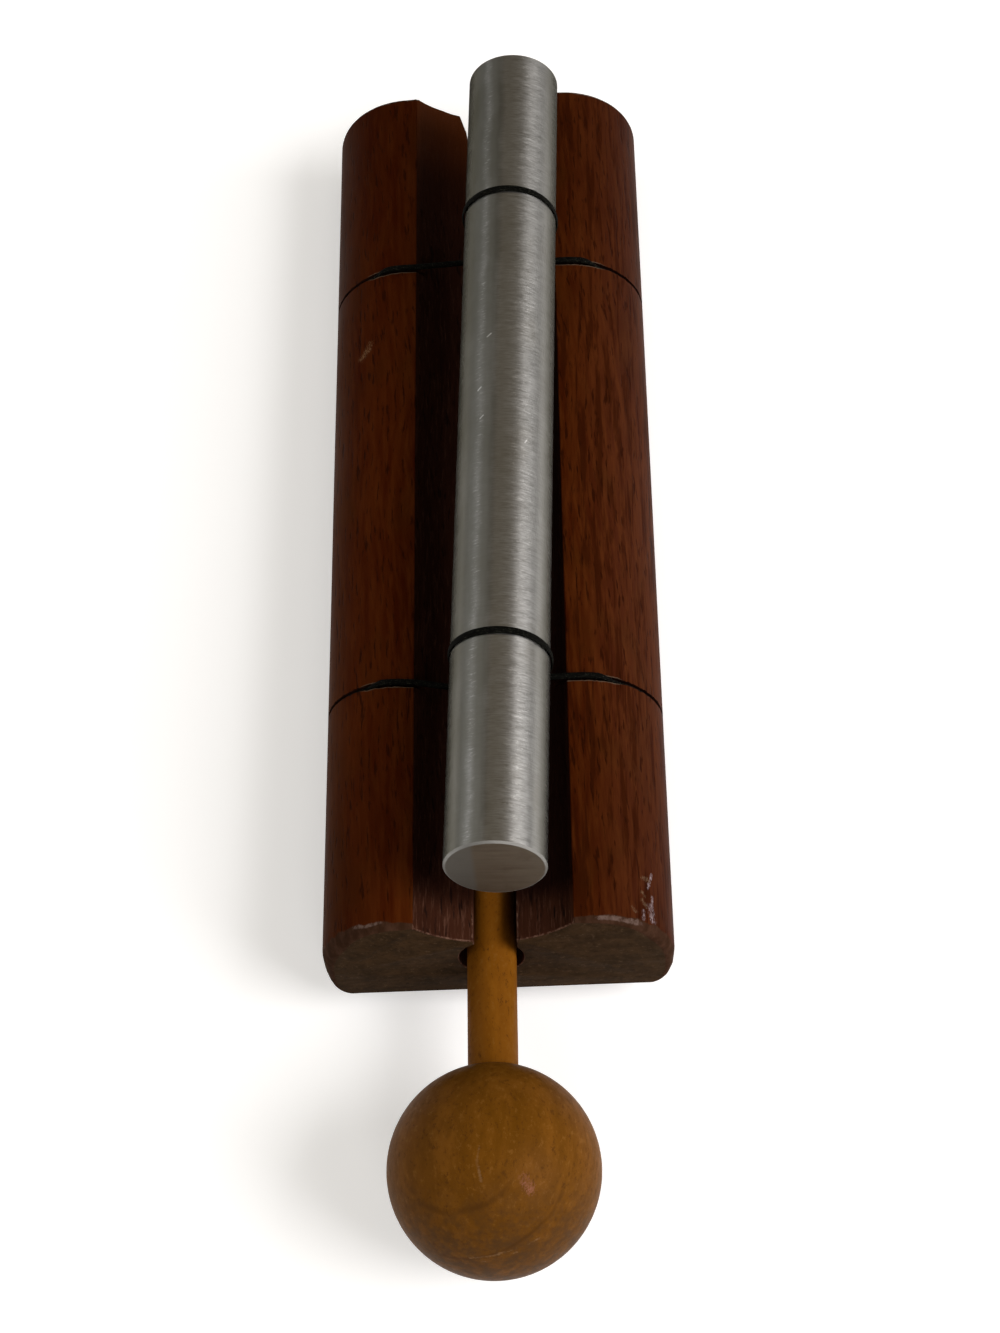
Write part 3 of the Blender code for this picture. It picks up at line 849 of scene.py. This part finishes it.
END_GRAIN = {
    "deep": (0.021, 0.0110, 0.0042),
    "warm": (0.043, 0.0225, 0.0095),
    "sawn": (0.055, 0.032, 0.018),
    "dark_speck": (0.013, 0.0062, 0.0025),
    "pale_speck": (0.070, 0.040, 0.021),
}


def on_dome(x, y):
    """The place on a domed shoulder above a place in plan, in millimetres."""
    out = max(0.0, (abs(x) * MM - COVE_HALF - RIM_LAND) / SHOULDER_ROUND_WIDTH)
    height = WIDEST_HEIGHT + SHOULDER_ROUND_HEIGHT * math.sqrt(1 - out ** 2)
    return x, y, height / MM


def dome_marks(look, scratches):
    """Broken scratches on a shoulder, from their places in plan."""
    placed = [(on_dome(*start), on_dome(*end), width) for start, end, width in scratches]
    return look.broken_marks(placed, (4200, 1700, 4200), 0.9)


def wood_streaks(look):
    """Broad colour bands and fine dark pores of the block's timber, all along its length."""
    grain = look.leaning(0.05, 0.9 * MM)
    bands = look.noise((190, 22, 190), detail=4, rough=0.6, distortion=0.6, place=grain)
    fine = look.noise((950, 95, 950), rough=0.6, place=grain)
    pores = look.span(look.noise((1500, 210, 1500), detail=2, place=grain), 0.56, 0.70)
    return bands, fine, pores


def varnish_tone(look, bands, fine, pores):
    """The varnish before any wear: the timber's bands, painted light on the left flank, painted shade on
    the left shoulder, painted sheen on the right shoulder, painted shade towards the rear and a darker
    front, pores.
    """
    across = look.axis("X")
    along = look.axis("Y")
    look.ground(bands, 0.32, 0.68, "deep", "warm")
    look.tint(fine, 0.35, 0.75, 0.65, "light")
    mottle = look.noise((120, 60, 120), rough=0.6)
    look.tint(mottle, 0.5, 0.72, 0.5, "mottle")
    # Painted light on the left flank, painted shade on the left shoulder, painted sheen on the right
    # shoulder
    look.tint(across, *LEFT_FLANK_LIGHT, 0.35, "left_flank_light")
    look.tint(across, *LEFT_SHOULDER_SHADE, 0.3, "left_shoulder_shade")
    look.tint(across, *RIGHT_SHOULDER_SHEEN, 0.4, "right_shoulder_sheen")
    streaks = look.noise((620, 48, 620), detail=4, rough=0.65, distortion=0.3)
    streaks = look.span(streaks, 0.48, 0.62, 0.0, 0.75)
    look.layer(look.times(streaks, look.span(across, *STREAKED_SIDE)), "streak")
    # Painted shade towards the rear end; a little darker towards the front
    rear = look.span(along, *BLOCK_REAR_SHADE, 0.0, 0.42)
    front = look.span(along, *DARKER_FRONT, 0.0, 0.18)
    look.layer(look.plus(rear, front), "end")
    look.layer(look.times(pores, 0.8), "pore")


def varnish_wear(look):
    """Chips along the kerfs, the worn front edge, its rubbed strip on the right and its painted highlight
    on the left. Returns that edge's band.
    """
    ragged = look.noise((900, 900, 900), detail=4, rough=0.7)
    chipped = look.plus(look.attribute("chipped"), look.times(ragged, 0.9))
    aside = look.calculate("ABSOLUTE", look.axis("X"), 0.0)
    chipped = look.times(chipped, look.span(aside, *CHIPPED_INSIDE, 0.4, 1.0))
    look.tint(chipped, 0.85, 1.35, 0.9, "chip")
    worn = look.plus(look.attribute("worn"), look.times(ragged, 0.25))
    band = look.span(worn, 0.36, 0.52)
    grain = look.noise((700, 240, 700), detail=4, rough=0.6)
    bared = look.mix(look.span(grain, 0.35, 0.7), "worn_dark", "worn_light")
    look.layer(band, bared)
    # Rubbed-away varnish on the right of the front edge, a painted highlight on its left
    look.layer(rubbed_edge_and_highlight(look, worn), "rubbed")
    return band


def rubbed_edge_and_highlight(look, worn):
    """Two pale strips on the front edge: on the left a painted highlight where the eased edge catches
    light, on the right where the varnish is rubbed away.
    """
    across = look.axis("X")
    left = look.times(look.window(across, *LEFT_EDGE_HIGHLIGHT, 1.2 * MM), look.window(worn, 0.36, 0.70, 0.14))
    right = look.times(look.window(across, *RUBBED_RIGHT, 1.8 * MM), look.window(worn, 0.42, 0.95, 0.18))
    broken = look.noise((1100, 1100, 1100), detail=5, rough=0.75)
    return look.span(look.times(look.larger(left, right), broken), 0.30, 0.62, 0.0, 0.9)


def varnished_wood():
    """Red-brown varnish over open pores, rubbed through in front and chipped along the kerfs, with
    painted light, shade and sheen on its sides and a painted highlight on the left of its front edge.
    """
    look = Look("varnished_wood", VARNISH)
    bands, fine, pores = wood_streaks(look)
    varnish_tone(look, bands, fine, pores)
    band = varnish_wear(look)
    white = dome_marks(look, WHITE_SCRATCHES)
    look.layer(look.times(white, 0.85), "white")
    look.layer(look.times(dome_marks(look, DULL_SCRATCHES), 0.7), "dull")
    look.layer(look.times(dome_marks(look, SHOULDER_NICK), 0.95), "nick")
    rough = look.span(look.noise((60, 25, 60), detail=4), 0.3, 0.7, 0.40, 0.52)
    rough = look.larger(rough, look.times(band, 0.6))
    relief = look.minus(look.times(fine, 0.25), look.larger(pores, white))
    return look.complete(rough, relief, 0.06 * MM, 0.7, VARNISH_SHINE)


def bare_wood():
    """The milled hollow, slot and bore: no varnish, torn fibres, a painted shadow under the rod, and
    redder wood painted lighter towards the rear end.
    """
    look = Look("bare_wood", BARE)
    bands, fine, pores = wood_streaks(look)
    torn = look.noise((2300, 190, 2300), detail=4, rough=0.75)
    look.ground(bands, 0.3, 0.7, "deep", "warm")
    look.tint(torn, 0.50, 0.70, 0.85, "torn")
    look.layer(pores, "pore")
    along = look.axis("Y")
    # Painted shadow under the rod, fading out past its ends
    under = look.times(look.span(along, *ROD_SHADOW_FRONT), look.span(along, *ROD_SHADOW_REAR))
    under = look.times(under, look.span(look.axis("X"), *ROD_SHADOW_SIDE, 0.62, 0.88))
    # Redder wood towards the rear end, also painted lighter there, where light reaches past the rod's end
    look.tint(along, *REAR_RED_AND_LIGHT, 0.75, "rear")
    look.layer(under, "rod_shadow")
    look.layer(frayed_edges(look, along), "frayed")
    relief = look.plus(look.times(torn, 0.8), fine)
    return look.complete(look.span(torn, 0.2, 0.8, 0.62, 0.9), relief, 0.12 * MM, 0.8)


def frayed_edges(look, along):
    """Pale fibres at the hollow's ends and along the front of the slot's lips."""
    height = look.axis("Z")
    aside = look.calculate("ABSOLUTE", look.axis("X"), 0.0)
    lip = look.window(aside, *FRAYED_LIP, 0.25 * MM)
    lip = look.times(lip, look.span(height, *FRAYED_HEIGHT))
    lip = look.times(lip, look.span(along, *FRAYED_FRONT))
    edge = look.larger(lip, look.span(look.attribute("worn"), 0.0, 0.5))
    edge = look.times(edge, look.span(height, *ABOVE_POCKETS))
    broken = look.noise((900, 700, 900), detail=4, rough=0.7)
    return look.span(look.times(edge, broken), 0.38, 0.62)


def end_grain():
    """The sawn ends: dull grey-brown with soft blotches, fine specks and faint saw marks."""
    look = Look("end_grain", END_GRAIN)
    blotches = look.noise((230, 60, 330), detail=5, rough=0.7, distortion=0.4)
    specks = look.noise((1100, 200, 1100), detail=4, rough=0.7)
    saw = look.noise((60, 300, 1100), rough=0.65)
    look.ground(blotches, 0.3, 0.7, "deep", "warm")
    look.tint(saw, 0.5, 0.8, 0.4, "sawn")
    look.tint(specks, 0.54, 0.70, 0.7, "dark_speck")
    look.tint(specks, 0.44, 0.30, 0.7, "pale_speck")
    relief = look.plus(look.times(saw, 0.6), specks)
    return look.complete(look.span(saw, 0.2, 0.8, 0.6, 0.85), relief, 0.06 * MM, 0.8)


# Finish of the rod and the cords: colours, places on the rod, and nicks in millimetres
ALUMINIUM = {
    "dark": (0.30, 0.293, 0.276),
    "light": (0.40, 0.393, 0.378),
    "grime": (0.26, 0.242, 0.205),
    # Painted shade that darkens the rod's sides and its rear
    "rod_side_shade": (0.135, 0.130, 0.108),
    # Painted glints, laid only in the painted highlight bands
    "glint": (0.60, 0.59, 0.57),
    "nick": (0.75, 0.74, 0.72),
    "edge": (0.03, 0.03, 0.028),
}
CUT = {
    "dark": (0.124, 0.098, 0.070),
    "light": (0.158, 0.128, 0.094),
    "stain": (0.098, 0.074, 0.050),
    # Painted reflection: one side of each sawn end is painted paler
    "side": (0.142, 0.140, 0.128),
    "rim": (0.29, 0.285, 0.27),
}
ROD_SHADE_WANDER = 0.3 * MM
ROD_LEFT_SHADE = mm(-0.6, -2.4)
ROD_RIGHT_SHADE = mm(6.5, 8.8)
ROD_REAR_SHADE = mm(40, -95)
# Painted highlight bands along the rod: a narrow one on the left, stronger towards the front, and a broad
# one on the right
ROD_LEFT_HIGHLIGHT = mm(-4.9, -4.0)
ROD_HIGHLIGHT_FRONT = mm(0, 80)
ROD_RIGHT_HIGHLIGHT = mm(1.6, 5.6)
FACE_REFLECTION_SIDE = mm(-3.2, -4.4)
CUT_RIM = (BAR_RADIUS - 1.6 * BAR_CHAMFER, BAR_RADIUS - 0.8 * BAR_CHAMFER)
BAR_NICKS = [
    ((-3.3, 8.6, -18.9), (-2.6, 8.9, -19.5), 0.26), ((-4.9, 7.9, -6.2), (-4.3, 8.2, -6.8), 0.24),
    ((-4.3, 8.2, 0.9), (-3.7, 8.5, 0.3), 0.2), ((4.4, 8.15, 6.9), (4.7, 8.0, 6.2), 0.24),
]
ELASTIC = {"sooty": (0.0018, 0.0017, 0.0013), "pale": (0.036, 0.037, 0.027)}


def rod_shade_and_highlights(look, grime):
    """Painted shade on the rod's sides and towards its rear, left off along the left painted highlight,
    and where the painted highlight bands run.
    """
    along = look.axis("Z")
    wander = look.noise((30, 30, 60), detail=5, rough=0.7)
    wander = look.span(wander, 0.3, 0.7, -ROD_SHADE_WANDER, ROD_SHADE_WANDER)
    across = look.plus(look.axis("X"), wander)
    left = look.span(across, *ROD_LEFT_SHADE, 0.0, 0.8)
    right = look.span(across, *ROD_RIGHT_SHADE, 0.0, 0.6)
    streak = look.window(across, *ROD_LEFT_HIGHLIGHT, 0.8 * MM)
    clean = look.times(look.span(grime, 0.35, 0.6, 1.0, 0.5), look.span(along, *ROD_HIGHLIGHT_FRONT, 0.5, 0.8))
    dull = look.minus(look.plus(left, right), look.times(streak, clean))
    dull = look.plus(dull, look.span(along, *ROD_REAR_SHADE, 0.0, 0.12))
    dull = look.times(dull, look.span(grime, 0.3, 0.6, 0.85, 1.0))
    return dull, look.larger(streak, look.window(across, *ROD_RIGHT_HIGHLIGHT, 1.0 * MM))


def brushed_aluminium():
    """Satin rod with short brush marks round it, grimy patches, painted shade on its sides, painted
    highlight bands with painted glints, and a few nicks along its top.
    """
    look = Look("brushed_aluminium", ALUMINIUM)
    brush = look.noise((420, 420, 4200), detail=4, rough=0.7)
    broad = look.noise((45, 45, 700), rough=0.6)
    grime = look.noise((120, 120, 60), detail=4, rough=0.6)
    look.ground(brush, 0.3, 0.7, "dark", "light")
    look.tint(grime, 0.5, 0.8, 0.5, "grime")
    dull, highlight_bands = rod_shade_and_highlights(look, grime)
    # Painted shade on the rod's sides and towards its rear
    look.layer(dull, "rod_side_shade")
    # Painted glints in the painted highlight bands
    glint_noise = look.noise((640, 640, 2600), detail=4, rough=0.75)
    look.layer(look.times(look.span(glint_noise, 0.54, 0.66, 0.0, 0.6), highlight_bands), "glint")
    nicks = look.marks(BAR_NICKS)
    look.layer(look.times(nicks, 0.85), "nick")
    rough = look.plus(look.span(brush, 0.2, 0.8, 0.31, 0.43), look.span(broad, 0.3, 0.8, 0.0, 0.04))
    relief = look.minus(brush, look.times(nicks, 2.0))
    return look.complete(rough, relief, 0.02 * MM, 0.5, METAL_SHINE, Metallic=1.0, Anisotropic=0.8,
                         Anisotropic_Rotation=0.25, Specular_Tint="edge")


def cut_aluminium():
    """The rod's sawn ends: dull, brownish grey, with faint marks across, a paler rim and a painted
    reflection on one side.
    """
    look = Look("cut_aluminium", CUT)
    cuts = look.noise((70, 900, 70), detail=4, rough=0.65)
    stain = look.noise((260, 260, 260), rough=0.6)
    look.ground(cuts, 0.3, 0.7, "dark", "light")
    look.tint(stain, 0.5, 0.8, 0.5, "stain")
    # Painted reflection on one side of the sawn end
    look.tint(look.axis("X"), *FACE_REFLECTION_SIDE, 0.7, "side")
    flat = look.add("VectorMath", {0: look.place, 1: (1, 1, 0)}, operation="MULTIPLY").outputs[0]
    radius = look.add("VectorMath", {0: flat}, operation="LENGTH").outputs["Value"]
    look.tint(radius, *CUT_RIM, 0.9, "rim")
    rough = look.span(cuts, 0.2, 0.8, 0.5, 0.62)
    return look.complete(rough, cuts, 0.02 * MM, 0.5, METAL_SHINE, Metallic=1.0)


def black_elastic():
    """Braided black elastic: sooty threads with a few paler ones."""
    look = Look("black_elastic", ELASTIC)
    threads = look.noise((5000, 5000, 5000), detail=2, rough=0.6)
    look.ground(threads, 0.58, 0.70, "sooty", "pale")
    return look.complete(look.span(threads, 0.3, 0.7, 0.65, 0.9), threads, 0.04 * MM, 0.6)


# Finish of the mallet: colours, places on the dowel and the ball, and scratches in millimetres
HONEY = {
    "dark_fleck": (0.066, 0.024, 0.003),
    "light_fleck": (0.20, 0.084, 0.014),
    "dowel_pale": (0.190, 0.067, 0.0048),
    "dowel_deep": (0.150, 0.050, 0.0028),
    # Painted shade on the dowel's sides where they lie under the slot
    "stain": (0.026, 0.0075, 0.0012),
    "ball_pale": (0.153, 0.056, 0.0048),
    "ball_deep": (0.106, 0.038, 0.0021),
    # Painted shade on the ball's lower side
    "underside": (0.062, 0.028, 0.0085),
    "ring": (0.050, 0.018, 0.0022),
    "scratch": (0.22, 0.120, 0.050),
    "rub": (0.27, 0.105, 0.066),
}
# Where the painted shade lies on the dowel
SLOT_SHADE_WANDER = 0.6 * MM
SLOT_SHADE_LEFT = mm(-1.2, -3.2)
SLOT_SHADE_RIGHT = mm(1.7, 3.7)
SLOT_SHADE_LENGTH = mm(39, 47)
SLOT_SHADE_TOP = mm(2.0, -2.0)
RING_POLE = (-0.31, -0.94, -0.11)
RING_SPACING = 7.45 * MM
# Direction of the painted shade on the ball, down and towards the front; the growth rings fade against it
# too
BALL_UNDERSIDE = (0.0, 0.54, -0.84)
BALL_SCRATCHES = [
    ((-1.4, -18.5, -3.3), (-1.9, -17.9, -5.5), 0.45), ((-1.9, -17.9, -5.5), (-1.3, -16.6, -8.8), 0.7),
    ((-4.0, -4.9, -17.8), (1.0, -6.2, -17.8), 0.6), ((-2.0, -4.2, -18.2), (4.0, -5.9, -17.4), 0.5),
    ((1.0, -6.4, -17.7), (8.0, -7.2, -15.6), 0.6),
]
BALL_RUB = [((6.0, -15.5, -8.2), (6.9, -14.6, -9.6), 2.4)]


def honey_wood(look, pale, deep):
    """Fine-flecked honey-coloured wood, with the grain along the piece's own Z axis."""
    bands = look.noise((160, 160, 22), detail=4, rough=0.6, distortion=0.5)
    flecks = look.noise((900, 900, 560), detail=5, rough=0.8)
    mottle = look.noise((420, 420, 190), rough=0.6)
    look.ground(bands, 0.3, 0.7, deep, pale)
    look.tint(mottle, 0.45, 0.65, 0.7, deep)
    look.tint(flecks, 0.54, 0.66, 0.75, "dark_fleck")
    look.tint(flecks, 0.46, 0.34, 0.5, "light_fleck")
    return flecks


def honey_dowel():
    """The dowel's wood, with painted shade along both sides of the stretch kept under the slot, where the
    slot's walls shade it.
    """
    look = Look("honey_dowel", HONEY)
    flecks = honey_wood(look, "dowel_pale", "dowel_deep")
    smear = look.noise((300, 300, 45), detail=4, rough=0.65)
    across = look.plus(look.axis("X"), look.span(smear, 0.3, 0.7, -SLOT_SHADE_WANDER, SLOT_SHADE_WANDER))
    # Painted shade along both sides of the dowel where it lies under the slot
    rubbed = look.plus(look.span(across, *SLOT_SHADE_LEFT), look.span(across, *SLOT_SHADE_RIGHT))
    stored = look.span(look.axis("Z"), *SLOT_SHADE_LENGTH, 0.0, 0.68)
    above = look.span(look.axis("Y"), *SLOT_SHADE_TOP)
    look.layer(look.times(look.times(rubbed, stored), above), "stain")
    return look.complete(look.span(flecks, 0.2, 0.8, 0.42, 0.6), flecks, 0.04 * MM, 0.5)


def growth_rings(look, low):
    """Thin, patchy rings about a pole, fading out towards the top of the ball."""
    wander = look.span(look.noise((55, 55, 55), detail=1), 0.2, 0.8, -0.60, -0.42)
    rings = look.plus(look.depth(RING_POLE, 1 / RING_SPACING), wander)
    lines = look.span(look.calculate("PINGPONG", rings, 0.5), 0.43, 0.495)
    patchy = look.span(look.noise((95, 95, 95), detail=2), 0.40, 0.58, 0.1, 0.5)
    return look.times(lines, look.times(patchy, look.span(low, -0.4, 0.2)))


def honey_ball():
    """The ball's wood: soft growth rings, painted shade on its lower side, pale scratches and a reddish
    rub mark.
    """
    look = Look("honey_ball", HONEY)
    flecks = honey_wood(look, "ball_pale", "ball_deep")
    low = look.depth(BALL_UNDERSIDE, 1 / BALL_RADIUS)
    dull = look.noise((430, 430, 430), detail=5, rough=0.75)
    # Painted shade on the ball's lower side, broken up by noise
    lower_shade = look.times(look.span(low, -0.3, 0.7), look.span(dull, 0.36, 0.64, 0.25, 1.0))
    look.layer(lower_shade, "underside")
    look.layer(growth_rings(look, low), "ring")
    pale = look.broken_marks(BALL_SCRATCHES, (1500, 3600, 3600), 0.4)
    look.layer(look.times(pale, 0.6), "scratch")
    rub = look.broken_marks(BALL_RUB, (3600, 3600, 900), 0.45)
    look.layer(look.times(rub, 0.75), "rub")
    relief = look.minus(flecks, look.times(pale, 1.5))
    return look.complete(look.span(flecks, 0.2, 0.8, 0.40, 0.58), relief, 0.05 * MM, 0.5)


# Stage: colours of the floor, and of the room by how steeply upwards it is seen
FLOOR = {"deep": (0.885, 0.885, 0.88), "pale": (0.905, 0.905, 0.90), "added": (1.0, 1.0, 1.0)}
ROOM = ((0.0, (0.22, 0.22, 0.215)), (0.4, (0.15, 0.145, 0.13)), (0.9, (0.21, 0.17, 0.115)))


def pale_floor():
    """A matt, faintly mottled floor that the picture and the reflections show whiter than it is."""
    look = Look("pale_floor", FLOOR)
    seen = look.add("LightPath").outputs
    rays = look.larger(seen["Is Camera Ray"], seen["Is Glossy Ray"])
    rays = look.larger(rays, seen["Is Transmission Ray"])
    look.ground(look.noise((9, 9, 9)), 0.3, 0.7, "deep", "pale")
    look.set(Base_Color=look.tone, Roughness=0.9, Specular_IOR_Level=0.1, Emission_Color="added",
             Emission_Strength=look.times(rays, FLOOR_LIFT))
    return look.material


def build_floor():
    """A pale floor under the ball and the block's rear edge, as the stored mallet lifts the front."""
    rear = Vector((0.0, HALF_LENGTH, 0.0))
    rise = math.atan2(BALL_MIDDLE.z - rear.z, rear.y - BALL_MIDDLE.y)
    reach = math.hypot(rear.y - BALL_MIDDLE.y, BALL_MIDDLE.z - rear.z)
    shape = bmesh.new()
    bmesh.ops.create_grid(shape, x_segments=1, y_segments=1, size=FLOOR_HALF)
    mesh = bpy.data.meshes.new("floor")
    shape.to_mesh(mesh)
    shape.free()
    mesh.materials.append(pale_floor())
    floor = new_object("floor", mesh)
    floor.location = rear
    floor.rotation_euler.x = math.asin(BALL_RADIUS / reach) - rise


def build_lights():
    """Three soft lamps, and a dim room that is a little darker at wall height."""
    for name, place, side, power, tint in LAMPS:
        data = bpy.data.lights.new(name, "AREA")
        data.size = side
        data.energy = power
        data.color = tint
        lamp = new_object(name, data)
        lamp.location = place
        lamp.rotation_euler = (-Vector(place)).to_track_quat("-Z", "Y").to_euler()
    world = bpy.data.worlds.new("studio")
    bpy.context.scene.world = world
    world.use_nodes = True
    tree = world.node_tree
    place = tree.nodes.new("ShaderNodeTexCoord").outputs["Generated"]
    height = tree.nodes.new("ShaderNodeSeparateXYZ")
    tree.links.new(place, height.inputs[0])
    ramp = tree.nodes.new("ShaderNodeValToRGB")
    tree.links.new(height.outputs["Z"], ramp.inputs["Fac"])
    stops = ramp.color_ramp.elements
    stops.new(0.5)
    for stop, (steepness, tone) in zip(stops, ROOM):
        stop.position = steepness
        stop.color = (*tone, 1.0)
    tree.links.new(ramp.outputs["Color"], tree.nodes["Background"].inputs["Color"])


def build_camera():
    data = bpy.data.cameras.new("camera")
    data.sensor_fit = "HORIZONTAL"
    data.sensor_width = SENSOR_WIDTH
    data.lens = CAMERA_FOCAL * SENSOR_WIDTH / PICTURE_WIDTH
    data.clip_start = NEAR_CLIP
    camera = new_object("camera", data)
    camera.location = CAMERA_PLACE
    camera.rotation_euler = Euler(CAMERA_TURN)
    bpy.context.scene.camera = camera


def finish_piece(piece, body, node):
    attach(piece, body)
    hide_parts(node)


def main():
    build_camera()
    elastic = black_elastic()
    for place in KERF_YS:
        build_cord(place, elastic)
    finish_piece(build_block(), "base", "base_block")
    finish_piece(build_bar(), "chime", "chime_bar")
    finish_piece(build_handle(), "mallet", "mallet_handle")
    finish_piece(build_ball(), "mallet", "mallet_head")
    build_floor()
    build_lights()
    bpy.context.scene.view_settings.view_transform = "Standard"


main()
